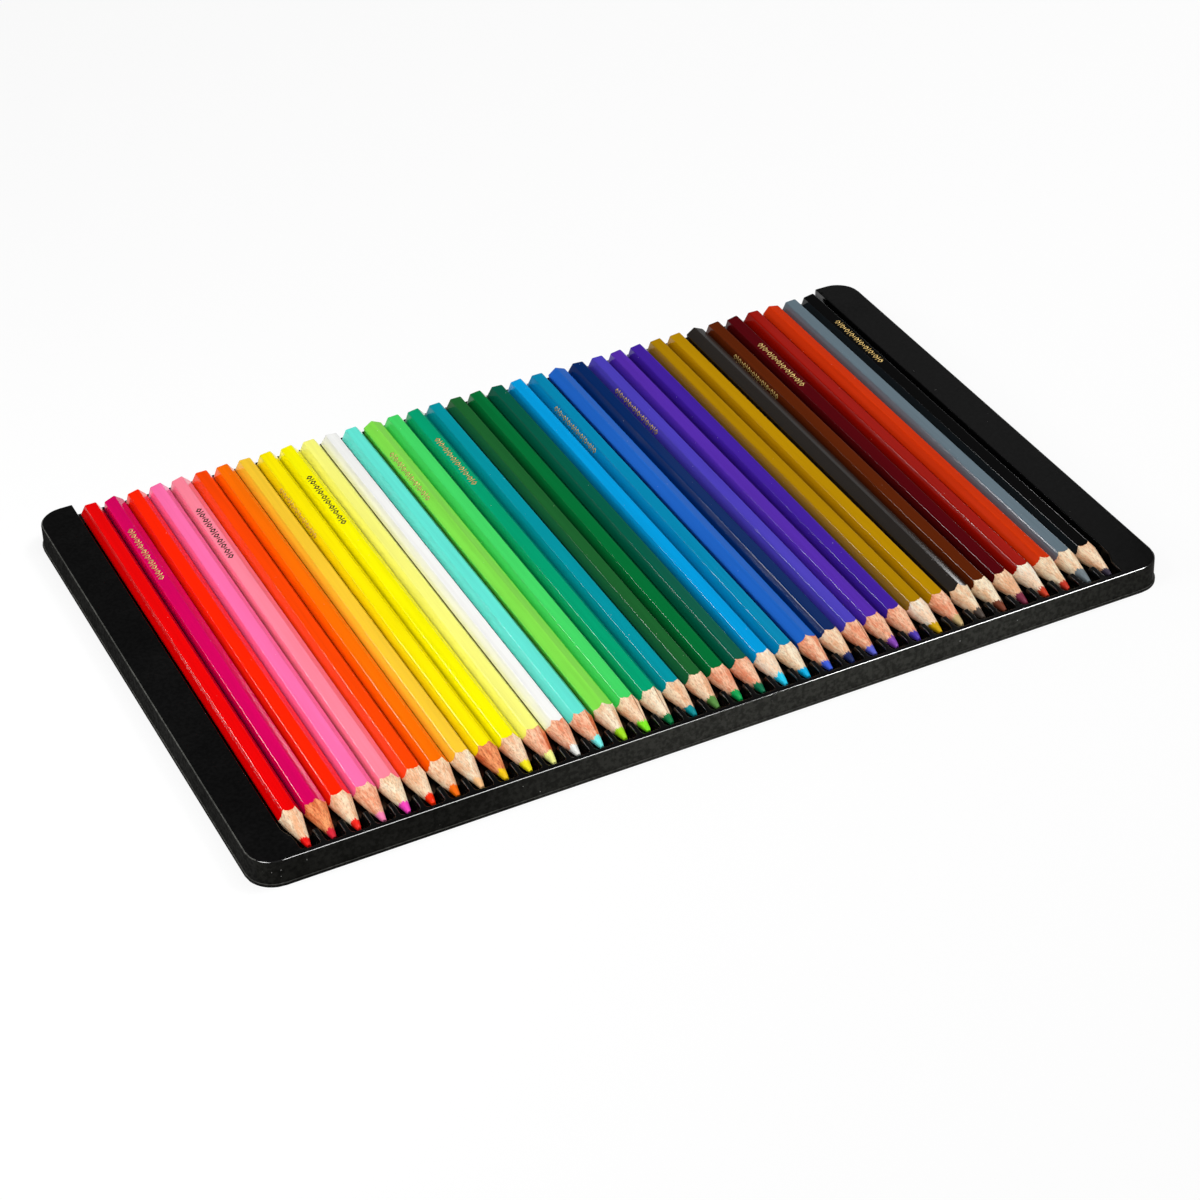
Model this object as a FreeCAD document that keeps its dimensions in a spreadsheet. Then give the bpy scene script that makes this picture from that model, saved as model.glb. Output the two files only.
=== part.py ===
"""Formed tray of sharpened hexagonal coloured pencils, lying side by side.

The frame has its origin on the table under the middle of the tray: +X runs along the row of pencils,
+Y from the tips to the blunt ends and +Z up. All sizes are in millimetres.
"""
import FreeCAD, Part
import math
import os
import Sketcher

# Pencils from left to right: colour name, and how far each one is rolled from lying with a flat on top.
# A positive roll, in degrees, turns the pencil clockwise as seen from the tips.
PENCILS = [
    ("scarlet", 0),
    ("magenta", -22),
    ("vermilion", -13),
    ("pink", -12),
    ("rose", -15),
    ("red_orange", 0),
    ("orange", -6),
    ("apricot", 0),
    ("golden_yellow", -7),
    ("yellow", -10),
    ("pale_yellow", -3),
    ("white", 5),
    ("turquoise", -4),
    ("grass_green", 26),
    ("bright_green", -3),
    ("sea_green", -9),
    ("teal", -3),
    ("forest_green", 0),
    ("leaf_green", -7),
    ("bottle_green", 3),
    ("sky_blue", -7),
    ("cerulean", 0),
    ("royal_blue", 22),
    ("navy", 4),
    ("blue_violet", 0),
    ("purple", -9),
    ("violet", -9),
    ("ochre", -7),
    ("dark_ochre", -6),
    ("charcoal", 25),
    ("brown", -7),
    ("maroon", -12),
    ("brick_red", 1),
    ("rust", 12),
    ("slate_grey", -3),
    ("black", -9),
]
COUNT = len(PENCILS)
HEXAGON_TURN = 60

# The point and the core are cut with this many flats; a multiple of six keeps every pencil side alike.
POINT_FLATS = 18
# Angle of the flat that faces up, in a sketch across the pencil.
TOP = 90
# Distance within which an edge counts as lying on a plane.
TOUCHING = 1e-6

# Driving sizes: alias, value, meaning.
SIZES = [
    ("pencil_length", 176.0, "pencil, tip to blunt end"),
    ("pencil_flats", 6.0, "pencil, across flats"),
    ("core_diameter", 3.2, "coloured core"),
    ("core_gap", 0.02, "glue line round the core"),
    ("tip_diameter", 1.24, "blunt point of the core"),
    ("point_angle", 12.0, "half angle of the sharpened cone, degrees"),
    ("end_cap", 0.5, "lacquer over the core's blunt end"),
    ("end_bevel", 0.4, "soft edge of the blunt end"),
    ("neighbour_gap", 0.17, "room between neighbouring pencils, edge to edge"),
    ("groove_clearance", 0.1, "room between a pencil's edges and its groove"),
    ("axis_drop", 1.65, "pencil axis below the tray's top"),
    ("rib_drop", 3.95, "ribs and back strip below the tray's top"),
    ("tray_height", 8.0, "tray, table to top"),
    ("sheet", 0.5, "thickness of the formed sheet"),
    ("side_margin", 12.0, "flat margin at each end of the row"),
    ("bay_side_gap", 1.77, "bay wall to the edge of the end groove"),
    ("front_strip", 1.8, "flat strip in front of the notches"),
    ("tip_gap", 1.8, "tip to the front of its notch"),
    ("back_gap", 0.4, "blunt end to the back of its groove"),
    ("back_strip", 3.3, "low strip behind the grooves"),
    ("hump_length", 7.7, "front of the notch to the back of the humps"),
    ("notch_bevel", 1.0, "plan bevel of the notch's front corners"),
    ("shoulder_length", 6.0, "S-shaped ends of the bay, along the pencils"),
    ("shoulder_back", 3.0, "start of the S behind the humps"),
    ("corner_radius", 8.0, "plan corners of the tray"),
    ("rim_bevel", 0.6, "bevel of the tray's rim"),
    ("foot_step", 0.55, "foot beyond the wall"),
    ("foot_height", 0.8, "foot, table to step"),
]

# Sizes that follow from the driving ones.
DERIVED = [
    ("edge_reach", "pencil_flats / 2 / cos(30deg)", "axis to pencil edge"),
    ("core_radius", "core_diameter / 2", "axis to the core's side"),
    ("tip_radius", "tip_diameter / 2", "axis to the rim of the point"),
    ("point_slope", "tan(point_angle * 1deg)", "cone radius gained per length"),
    ("pitch", "2 * edge_reach + neighbour_gap", "pencil to pencil"),
    ("groove_radius", "edge_reach + groove_clearance", "round floor of a groove"),
    ("rib_below_axis", "rib_drop - axis_drop", "rib tops below the pencil axis"),
    ("groove_half", "sqrt(pow(groove_radius; 2) - pow(rib_below_axis; 2))", "half groove at the rib tops"),
    ("row_half", f"pitch * {COUNT - 1} / 2", "middle of the row to the end pencil"),
    ("bay_half", "row_half + groove_half + bay_side_gap", "half width of the bay"),
    ("tray_half_width", "bay_half + side_margin", "half width of the tray"),
    ("groove_length", "tip_gap + pencil_length + back_gap", "a groove from end to end"),
    ("tray_half_depth", "(front_strip + groove_length + back_strip) / 2", "half depth of the tray"),
    ("groove_front", "front_strip - tray_half_depth", "Y of the front of the notches"),
    ("groove_back", "groove_front + groove_length", "Y of the back of the grooves"),
    ("tip_y", "groove_front + tip_gap", "Y of the tips"),
    ("hump_back", "groove_front + hump_length", "Y of the back of the humps"),
    ("axis_height", "tray_height - axis_drop", "pencil axis above the table"),
    ("rib_height", "tray_height - rib_drop", "rib tops above the table"),
    ("shoulder_y", "hump_back + shoulder_back", "Y where the S of the bay starts"),
    ("shoulder_radius", "(pow(bay_side_gap; 2) + pow(shoulder_length; 2)) / (4 * bay_side_gap)",
     "arcs of the S"),
]

doc = FreeCAD.newDocument("pencil_tray")
sheet = doc.addObject("Spreadsheet::Sheet", "Sizes")


def fill_sheet():
    """Write the driving sizes as plain numbers and the derived ones as formulas, each with an alias."""
    rows = [(alias, str(value), note) for alias, value, note in SIZES]
    rows += [(alias, "=" + formula, note) for alias, formula, note in DERIVED]
    for row, (alias, content, note) in enumerate(rows, start=1):
        sheet.set(f"A{row}", note)
        sheet.set(f"B{row}", content)
        sheet.setAlias(f"B{row}", alias)
    doc.recompute()


def sized(formula):
    """Put the sheet's name before each alias of a formula, for use in another object's expression."""
    aliases = {alias for alias, *_ in SIZES + DERIVED}
    return " ".join("Sizes." + word if word in aliases else word for word in formula.split(" "))


def value_of(formula):
    """Give the present value of a formula in the sheet's sizes as a plain number."""
    return float(sheet.evalExpression(sized(formula)))


def bind(owner, property_name, formula):
    """Bind a property to a formula in the sheet's sizes."""
    owner.setExpression(property_name, sized(formula))


def origin_feature(body, role):
    """Find one of a body's own origin planes or axes by its role."""
    return next(item for item in body.Origin.OriginFeatures if item.Role == role)


def new_sketch(body, name, role, offset="0"):
    """Start a sketch on one of the body's origin planes, moved along that plane's normal."""
    sketch = body.newObject("Sketcher::SketchObject", name)
    sketch.AttachmentSupport = [(origin_feature(body, role), "")]
    sketch.MapMode = "FlatFace"
    bind(sketch, "AttachmentOffset.Base.z", offset)
    return sketch


def arc_between(start, end, radius):
    """Give an arc of under a half circle; a negative radius turns clockwise from start to end."""
    chord = end - start
    across = FreeCAD.Vector(-chord.y, chord.x, 0).normalize()
    depth = math.sqrt(radius ** 2 - (chord.Length / 2) ** 2)
    centre = (start + end) / 2 + across * math.copysign(depth, radius)
    first, last = (start, end) if radius > 0 else (end, start)
    circle = Part.Circle(centre, FreeCAD.Vector(0, 0, 1), abs(radius))
    angles = [math.atan2(point.y - centre.y, point.x - centre.x) for point in (first, last)]
    return Part.ArcOfCircle(circle, *angles)


def outline(sketch, corners):
    """Draw a closed outline through corners given by formulas, and hold it there.

    Each corner is its x, its y and the radius of the side that starts there: None for a straight side,
    and a minus sign before the formula for an arc that turns clockwise.
    """
    points = [FreeCAD.Vector(value_of(x), value_of(y), 0) for x, y, _ in corners]
    ends = points[1:] + points[:1]
    sides = []
    for start, end, (_, _, radius) in zip(points, ends, corners):
        if radius is None:
            sides.append((sketch.addGeometry(Part.LineSegment(start, end), False), 1, 2))
            continue
        arc = sketch.addGeometry(arc_between(start, end, value_of(radius)), False)
        number = sketch.addConstraint(Sketcher.Constraint("Radius", arc, abs(value_of(radius))))
        bind(sketch, f"Constraints[{number}]", radius.lstrip("- "))
        sides.append((arc, 2, 1) if radius.startswith("-") else (arc, 1, 2))
    for (side, _, last), (following, first, _) in zip(sides, sides[1:] + sides[:1]):
        sketch.addConstraint(Sketcher.Constraint("Coincident", side, last, following, first))
    for (side, first, _), (x, y, _) in zip(sides, corners):
        for kind, formula in (("DistanceX", x), ("DistanceY", y)):
            place = Sketcher.Constraint(kind, -1, 1, side, first, value_of(formula))
            bind(sketch, f"Constraints[{sketch.addConstraint(place)}]", formula)


def rounded_rectangle(sketch, left, right, front, back, radius):
    """Draw a rectangle with round corners, counter-clockwise from its front left corner."""
    outline(sketch, [
        (f"{left} + {radius}", front, None),
        (f"{right} - ( {radius} )", front, radius),
        (right, f"{front} + {radius}", None),
        (right, f"{back} - ( {radius} )", radius),
        (f"{right} - ( {radius} )", back, None),
        (f"{left} + {radius}", back, radius),
        (left, f"{back} - ( {radius} )", None),
        (left, f"{front} + {radius}", radius),
    ])


def feature(body, kind, name, sketch, length=None, reverse=False):
    """Add a sketch-based feature to a body."""
    made = body.newObject(f"PartDesign::{kind}", name)
    made.Profile = sketch
    if length is not None:
        bind(made, "Length", length)
    made.Reversed = reverse
    return made


def bevel_edges(body, name, base, pick, formula):
    """Chamfer the edges of a feature that a test picks."""
    doc.recompute()
    names = [f"Edge{index}" for index, edge in enumerate(base.Shape.Edges, start=1) if pick(edge)]
    made = body.newObject("PartDesign::Chamfer", name)
    made.Base = (base, names)
    bind(made, "Size", formula)


def regular_outline(sketch, sides, apothem, first_flat):
    """Draw a regular polygon about the sketch's origin, with one flat facing a given angle."""
    half_turn = 180 / sides
    corners = []
    for index in range(sides):
        angle = first_flat + half_turn + index * 2 * half_turn
        reach = f"( {apothem} ) / cos({half_turn}deg)"
        corners.append((f"{reach} * cos({angle}deg)", f"{reach} * sin({angle}deg)", None))
    outline(sketch, corners)


def sharpen(body, name):
    """Cut the point: one sloping flat, repeated round the pencil's axis."""
    shaving = new_sketch(body, name + "_shaving", "YZ_Plane")
    clear = "pencil_flats"
    outline(shaving, [
        ("0", "tip_radius", None),
        (f"( {clear} - tip_radius ) / point_slope", clear, None),
        ("0", clear, None),
    ])
    flat = feature(body, "Pocket", name + "_flat", shaving, "2 * pencil_flats")
    flat.Midplane = True
    point = body.newObject("PartDesign::PolarPattern", name + "_point")
    point.Originals = [flat]
    point.Axis = (origin_feature(body, "Y_Axis"), [""])
    point.Angle = 360
    point.Occurrences = POINT_FLATS
    body.Tip = point
    return point


def pencil_casing():
    """Make the wooden casing: a hexagon rod, soft at the blunt end, bored for the core and pointed."""
    body = doc.addObject("PartDesign::Body", "casing")
    hexagon = new_sketch(body, "hexagon", "XZ_Plane")
    regular_outline(hexagon, 360 // HEXAGON_TURN, "pencil_flats / 2", TOP)
    rod = feature(body, "Pad", "rod", hexagon, "pencil_length", reverse=True)
    bevel_edges(body, "blunt_end", rod, at_blunt_end, "end_bevel")
    bore_section = new_sketch(body, "bore_section", "XZ_Plane")
    regular_outline(bore_section, POINT_FLATS, "core_radius + core_gap", TOP)
    feature(body, "Pocket", "bore", bore_section, "pencil_length - end_cap")
    sharpen(body, "casing")
    return body


def at_blunt_end(edge):
    """Tell whether an edge lies on the pencil's blunt end."""
    return abs(edge.BoundBox.YMin - value_of("pencil_length")) < TOUCHING


def pencil_core():
    """Make the coloured core: a slim rod that ends in the pencil's point."""
    body = doc.addObject("PartDesign::Body", "core")
    section = new_sketch(body, "core_section", "XZ_Plane")
    regular_outline(section, POINT_FLATS, "core_radius", TOP)
    feature(body, "Pad", "core_rod", section, "pencil_length - end_cap - core_gap", reverse=True)
    sharpen(body, "core")
    return body


def bay_outline(sketch, inset):
    """Draw the bay in plan: open at the back, with an S-shaped shoulder at each front corner."""
    wall = f"( bay_half + {inset} )"
    neck = f"( row_half + groove_half + {inset} )"
    middle = f"( {wall} + {neck} ) / 2"
    open_back = "tray_half_depth + back_strip"
    start = "shoulder_y"
    half_way = "shoulder_y - shoulder_length / 2"
    end = "shoulder_y - shoulder_length"
    humps = f"hump_back - {inset}"
    right = [
        (neck, end, "- shoulder_radius"),
        (middle, half_way, "shoulder_radius"),
        (wall, start, None),
        (wall, open_back, None),
    ]
    left = [
        (f"- {wall}", open_back, None),
        (f"- {wall}", start, "shoulder_radius"),
        (f"- {middle}", half_way, "- shoulder_radius"),
        (f"- {neck}", end, None),
    ]
    front = [
        ("- row_half", end, None),
        ("- row_half", humps, None),
        ("row_half", humps, None),
        ("row_half", end, None),
    ]
    outline(sketch, right + left + front)


def form(name, inset):
    """Make the tray's outside, or with an inset the space under its sheet."""
    body = doc.addObject("PartDesign::Body", name)
    half_width = f"( tray_half_width - {inset} )"
    half_depth = f"( tray_half_depth - {inset} )"
    radius = f"( corner_radius - {inset} )"
    wall_plan = new_sketch(body, name + "_wall_plan", "XY_Plane")
    rounded_rectangle(wall_plan, f"- {half_width}", half_width, f"- {half_depth}", half_depth, radius)
    wall = feature(body, "Pad", name + "_wall", wall_plan, f"tray_height - {inset}")
    if inset == "0":
        bevel_edges(body, name + "_rim", wall, at_top, "rim_bevel")

    foot_plan = new_sketch(body, name + "_foot_plan", "XY_Plane")
    foot_x = f"( tray_half_width + foot_step - {inset} )"
    foot_y = f"( tray_half_depth + foot_step - {inset} )"
    foot_radius = f"( corner_radius + foot_step - {inset} )"
    rounded_rectangle(foot_plan, f"- {foot_x}", foot_x, f"- {foot_y}", foot_y, foot_radius)
    feature(body, "Pad", name + "_foot", foot_plan, f"foot_height - {inset}")

    rib_level = f"rib_height - {inset}"
    bay_plan = new_sketch(body, name + "_bay_plan", "XY_Plane", rib_level)
    bay_outline(bay_plan, inset)
    feature(body, "Pocket", name + "_bay", bay_plan, "tray_height", reverse=True)

    notch_plan = new_sketch(body, name + "_notch_plan", "XY_Plane", rib_level)
    notch_left = f"- row_half - groove_half - {inset}"
    notch_right = f"- row_half + groove_half + {inset}"
    notch_front = f"groove_front - {inset}"
    outline(notch_plan, [
        (f"{notch_left} + notch_bevel", notch_front, None),
        (f"{notch_right} - notch_bevel", notch_front, None),
        (notch_right, f"{notch_front} + notch_bevel", None),
        (notch_right, "shoulder_y", None),
        (notch_left, "shoulder_y", None),
        (notch_left, f"{notch_front} + notch_bevel", None),
    ])
    notch = feature(body, "Pocket", name + "_notch", notch_plan, "tray_height", reverse=True)

    section = new_sketch(body, name + "_groove_section", "XZ_Plane", f"- ( groove_back + {inset} )")
    level_half = f"sqrt( pow( groove_radius + {inset} ; 2 ) - pow( rib_below_axis + {inset} ; 2 ) )"
    outline(section, [
        (f"- row_half - {level_half}", rib_level, f"groove_radius + {inset}"),
        (f"- row_half + {level_half}", rib_level, None),
    ])
    groove = feature(body, "Pocket", name + "_groove", section, f"groove_length + 2 * {inset}", reverse=True)

    row = body.newObject("PartDesign::LinearPattern", name + "_row")
    row.Originals = [notch, groove]
    row.Direction = (origin_feature(body, "X_Axis"), [""])
    bind(row, "Length", "2 * row_half")
    row.Occurrences = COUNT
    body.Tip = row
    doc.recompute()
    return body


def at_top(edge):
    """Tell whether an edge lies on the tray's top."""
    return abs(edge.BoundBox.ZMin - value_of("tray_height")) < TOUCHING


def formed_tray():
    """Make the tray: the outside form less the space under the sheet."""
    tray = doc.addObject("Part::Cut", "tray")
    tray.Base = form("outside", "0")
    tray.Tool = form("underside", "sheet")
    tray.Label = "tray"
    return tray


def lying_pencils(casing, core):
    """Lay one pencil in each groove, rolled as it lies there."""
    laid = []
    for number, (colour, roll) in enumerate(PENCILS, start=1):
        pencil = doc.addObject("Part::Compound", f"pencil_{number:02d}")
        pencil.Links = [casing, core]
        pencil.Label = f"pencil_{number:02d}_{colour}"
        across = sized(f"- row_half + {number - 1} * pitch")
        place = f"vector({across}; {sized('tip_y')}; {sized('axis_height')})"
        pencil.setExpression("Placement", f"placement({place}; rotation(vector(0; 1; 0); {roll}deg))")
        laid.append(pencil)
    return laid


def check(subparts):
    """Stop before anything is written if an object failed or a sub-part's shape is unsound."""
    for item in doc.Objects:
        if {"Invalid", "Error"} & set(item.State):
            raise RuntimeError(f"{item.Name} failed: {item.State}")
    for part in subparts:
        if part.Shape.isNull() or not part.Shape.isValid() or not part.Shape.Solids:
            raise RuntimeError(f"{part.Label} has no sound shape")


def main():
    """Build the tray and its pencils and write each to its own file."""
    fill_sheet()
    casing = pencil_casing()
    core = pencil_core()
    tray = formed_tray()
    doc.recompute()
    subparts = [tray] + lying_pencils(casing, core)
    doc.recompute()
    check(subparts)
    for item in (casing, core, tray):
        print(f"{item.Label}: {item.Shape.Volume:.1f} mm3, {len(item.Shape.Faces)} faces")
    os.makedirs("parts", exist_ok=True)
    for part in subparts:
        part.Shape.exportStep(os.path.join("parts", part.Label + ".step"))


main()
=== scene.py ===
"""Looks of a formed black tray with a row of sharpened hexagonal coloured pencils.

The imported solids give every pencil's place and roll and the tray's overall size. This script dresses
them: the tray as a thin moulded shell with rounded edges, and each pencil with its lacquer, bare wood
point, coloured core and a small foil ornament. Sizes are in millimetres unless a name says otherwise.
"""

import logging
import math
from dataclasses import dataclass, replace
from enum import Enum
from typing import Callable, Iterable, Sequence

import bmesh
import bpy
from bmesh.types import BMEdge, BMesh, BMFace, BMVert
from mathutils import Matrix, Vector, noise


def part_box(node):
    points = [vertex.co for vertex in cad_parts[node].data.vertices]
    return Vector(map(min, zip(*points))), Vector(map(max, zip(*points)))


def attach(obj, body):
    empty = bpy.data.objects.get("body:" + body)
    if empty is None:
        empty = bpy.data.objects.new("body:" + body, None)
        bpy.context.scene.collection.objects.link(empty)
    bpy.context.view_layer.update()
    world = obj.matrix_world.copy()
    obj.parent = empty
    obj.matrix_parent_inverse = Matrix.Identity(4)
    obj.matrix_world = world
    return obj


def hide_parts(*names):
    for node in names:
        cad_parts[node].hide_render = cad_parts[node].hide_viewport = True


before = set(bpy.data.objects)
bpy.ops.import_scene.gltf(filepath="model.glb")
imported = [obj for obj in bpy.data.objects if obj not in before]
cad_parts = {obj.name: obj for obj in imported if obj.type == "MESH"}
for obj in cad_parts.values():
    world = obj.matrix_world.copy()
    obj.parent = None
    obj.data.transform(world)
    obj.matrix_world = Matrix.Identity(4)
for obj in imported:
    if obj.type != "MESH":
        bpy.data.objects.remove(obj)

logging.basicConfig(level=logging.INFO, format="%(message)s")
log = logging.getLogger("pencil_tray")

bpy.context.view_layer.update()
MM = 0.001
HEX_SIDES = 6
HEX_TURN = 2 * math.pi / HEX_SIDES
FULL_TURN = 360.0
TRAY_NODE = "tray"
# Lacquers whose channels add up to more than this are stamped with the darker copy of the gold foil, which
# carries painted shade.
PALE_LACQUER = 500
GLOSS_IOR = 1.5
# The values that a noise pattern mostly stays between, and those of its middle.
NOISE_RANGE = (0.2, 0.8)
NOISE_MIDDLE = (0.3, 0.7)
# Where a node that mixes two colours takes its share and the colours, and gives its result.
MIX_INPUTS = (0, 6, 7)
MIX_RESULT = 2
# The soft edge of a speck of dust, as a share of the largest speck's radius.
SPECK_EDGE = 0.25

RGB = tuple[int, int, int]
Light = tuple[float, float, float, float]
Place = tuple[float, float, float]
Stretch = tuple[float, float]
Wave = tuple[float, float, float]
Socket = bpy.types.NodeSocket


def linear(colour: RGB) -> Light:
    """Turn a colour as seen on screen into the light values that a shader takes.

    Args:
        colour: Red, green and blue from 0 to 255.

    Returns:
        Linear red, green and blue from 0 to 1, and an alpha of 1.
    """
    shares = [channel / 255 for channel in colour]
    light = [s / 12.92 if s <= 0.04045 else ((s + 0.055) / 1.055) ** 2.4 for s in shares]
    return (*light, 1.0)


def toned(colour: RGB, share: float) -> Light:
    """Give a colour as a shader takes it, with its light scaled by a share."""
    return (*(value * share for value in linear(colour)[:3]), 1.0)


def ease(share: float) -> float:
    """Give a smooth step from 0 to 1 as share goes from 0 to 1."""
    share = min(max(share, 0.0), 1.0)
    return share * share * (3 - 2 * share)


def blend(start: float, end: float, share: float) -> float:
    """Give the value a share of the way from start to end."""
    return start + (end - start) * share


class WoodTint(Enum):
    """Tints of the bare wood, as a light and a dark tone of its grain."""

    IVORY = ((255, 247, 228), (253, 216, 180))
    CREAM = ((255, 240, 210), (240, 192, 148))
    BEIGE = ((255, 230, 196), (240, 180, 136))
    SALMON = ((255, 208, 172), (238, 144, 104))
    AMBER = ((250, 164, 106), (210, 96, 50))
    UMBER = ((176, 112, 66), (126, 70, 36))


class Seam(Enum):
    """How the two glued slats of a pencil show on its point."""

    HIDDEN = 0
    LINE = 1
    TWO_TONE = 2


class StampSide(Enum):
    """Which of a pencil's sides carries the foil ornament, clockwise from the top one, seen from the tip."""

    TOP = 0
    UNDER = 3
    LEFT = 5


@dataclass(frozen=True)
class Pattern:
    """A noise pattern: blotches to a metre, their scale along the pencils, and the finer layers on them."""

    blotches: float
    run: float = 1.0
    detail: float = 3.0
    rough: float = 0.55


class Wiring:
    """Builds the node tree of one material around its main shader."""

    def __init__(self, name: str) -> None:
        """Start a material with one main shader.

        Args:
            name: The material's name.
        """
        self.material = bpy.data.materials.new(name)
        self.material.use_nodes = True
        self.tree = self.material.node_tree
        self.shader = self.tree.nodes["Principled BSDF"]
        self.place = self.node("ShaderNodeTexCoord").outputs["Object"]

    def node(self, kind: str, **settings: object) -> bpy.types.Node:
        """Add a node.

        Args:
            kind: The node's type name.
            settings: Properties to set on it.

        Returns:
            The new node.
        """
        made = self.tree.nodes.new(kind)
        for name, value in settings.items():
            setattr(made, name, value)
        return made

    def fill(self, socket: Socket, value: object) -> None:
        """Give a socket a constant, or join it to another node's output.

        Args:
            socket: The input to fill.
            value: A plain value, or the output of a node.
        """
        if isinstance(value, bpy.types.NodeSocket):
            self.tree.links.new(value, socket)
        else:
            socket.default_value = value

    def shade(self, **values: object) -> None:
        """Fill the main shader's inputs, named with underscores for spaces."""
        for name, value in values.items():
            self.fill(self.shader.inputs[name.replace("_", " ")], value)

    def drawn_out(self, run: float) -> Socket:
        """Give the piece's own coordinates, scaled along the pencils.

        Args:
            run: The scale along them, below 1 to draw a pattern out.

        Returns:
            The scaled coordinates.
        """
        mapping = self.node("ShaderNodeMapping")
        self.fill(mapping.inputs["Vector"], self.place)
        mapping.inputs["Scale"].default_value = (1.0, run, 1.0)
        return mapping.outputs["Vector"]

    def cloud(self, pattern: Pattern) -> Socket:
        """Add a noise pattern.

        Args:
            pattern: How large its blotches are and what lies on them.

        Returns:
            Its strength, from 0 to 1.
        """
        made = self.node("ShaderNodeTexNoise")
        self.fill(made.inputs["Vector"], self.place if pattern.run == 1.0 else self.drawn_out(pattern.run))
        made.inputs["Scale"].default_value = pattern.blotches
        made.inputs["Detail"].default_value = pattern.detail
        made.inputs["Roughness"].default_value = pattern.rough
        return made.outputs["Fac"]

    def dots(self, scale: float, radius: float, share: float) -> Socket:
        """Scatter round specks of dust of mixed sizes.

        Args:
            scale: How many places for a speck fit in a metre.
            radius: The largest speck's radius, as a share of the room round each place.
            share: The share of places that stay empty.

        Returns:
            1 on a speck and 0 beside it.
        """
        cells = self.node("ShaderNodeTexVoronoi")
        self.fill(cells.inputs["Vector"], self.place)
        cells.inputs["Scale"].default_value = scale
        parts = self.node("ShaderNodeSeparateColor")
        self.fill(parts.inputs["Color"], cells.outputs["Color"])
        size = self.span(parts.outputs["Red"], (share, 1.0), (0.0, radius))
        inside = self.worked("SUBTRACT", size, cells.outputs["Distance"])
        return self.span(inside, (0.0, radius * SPECK_EDGE))

    def patch(self, centre: Place, reach: float) -> Socket:
        """Fade out round a place on the piece.

        Args:
            centre: The place, in metres.
            reach: How far from it the fade ends, in metres.

        Returns:
            1 at the place, falling to 0.
        """
        mapping = self.node("ShaderNodeMapping")
        self.fill(mapping.inputs["Vector"], self.place)
        mapping.inputs["Location"].default_value = [-value / reach for value in centre]
        mapping.inputs["Scale"].default_value = [1 / reach] * 3
        ball = self.node("ShaderNodeTexGradient", gradient_type="SPHERICAL")
        self.fill(ball.inputs["Vector"], mapping.outputs["Vector"])
        return ball.outputs["Fac"]

    def span(self, source: Socket, old: Stretch, new: Stretch = (0.0, 1.0)) -> Socket:
        """Map a stretch of values onto another one, held at both ends.

        Args:
            source: The value to map.
            old: Where the old stretch starts and ends.
            new: The values at its start and its end.

        Returns:
            The mapped value.
        """
        made = self.node("ShaderNodeMapRange")
        names = ("Value", "From Min", "From Max", "To Min", "To Max")
        for name, value in zip(names, (source, *old, *new)):
            self.fill(made.inputs[name], value)
        return made.outputs["Result"]

    def mixed(self, share: object, first: object, second: object, way: str = "MIX") -> Socket:
        """Mix two colours.

        Args:
            share: How much of the second one shows.
            first: A colour or the output of a node.
            second: A colour or the output of a node.
            way: How the second one is laid on the first.

        Returns:
            The mixed colour.
        """
        made = self.node("ShaderNodeMix", data_type="RGBA", blend_type=way)
        for index, value in zip(MIX_INPUTS, (share, first, second)):
            self.fill(made.inputs[index], value)
        return made.outputs[MIX_RESULT]

    def worked(self, operation: str, first: Socket, second: Socket) -> Socket:
        """Work out a value from two others.

        Args:
            operation: What is done with them.
            first: The first value.
            second: The second value.

        Returns:
            What comes out.
        """
        made = self.node("ShaderNodeMath", operation=operation)
        for socket, value in zip(made.inputs, (first, second)):
            self.fill(socket, value)
        return made.outputs["Value"]

    def sum(self, first: Socket, second: Socket) -> Socket:
        """Add two values."""
        return self.worked("ADD", first, second)

    def raise_surface(self, height: Socket, depth_mm: float, strength: float = 1.0) -> None:
        """Let a height pattern tilt the surface.

        Args:
            height: The pattern, from 0 to 1.
            depth_mm: How deep the whole pattern is.
            strength: How much of it shows.
        """
        bump = self.node("ShaderNodeBump")
        bump.inputs["Strength"].default_value = strength
        bump.inputs["Distance"].default_value = depth_mm * MM
        self.fill(bump.inputs["Height"], height)
        self.fill(self.shader.inputs["Normal"], bump.outputs["Normal"])


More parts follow.
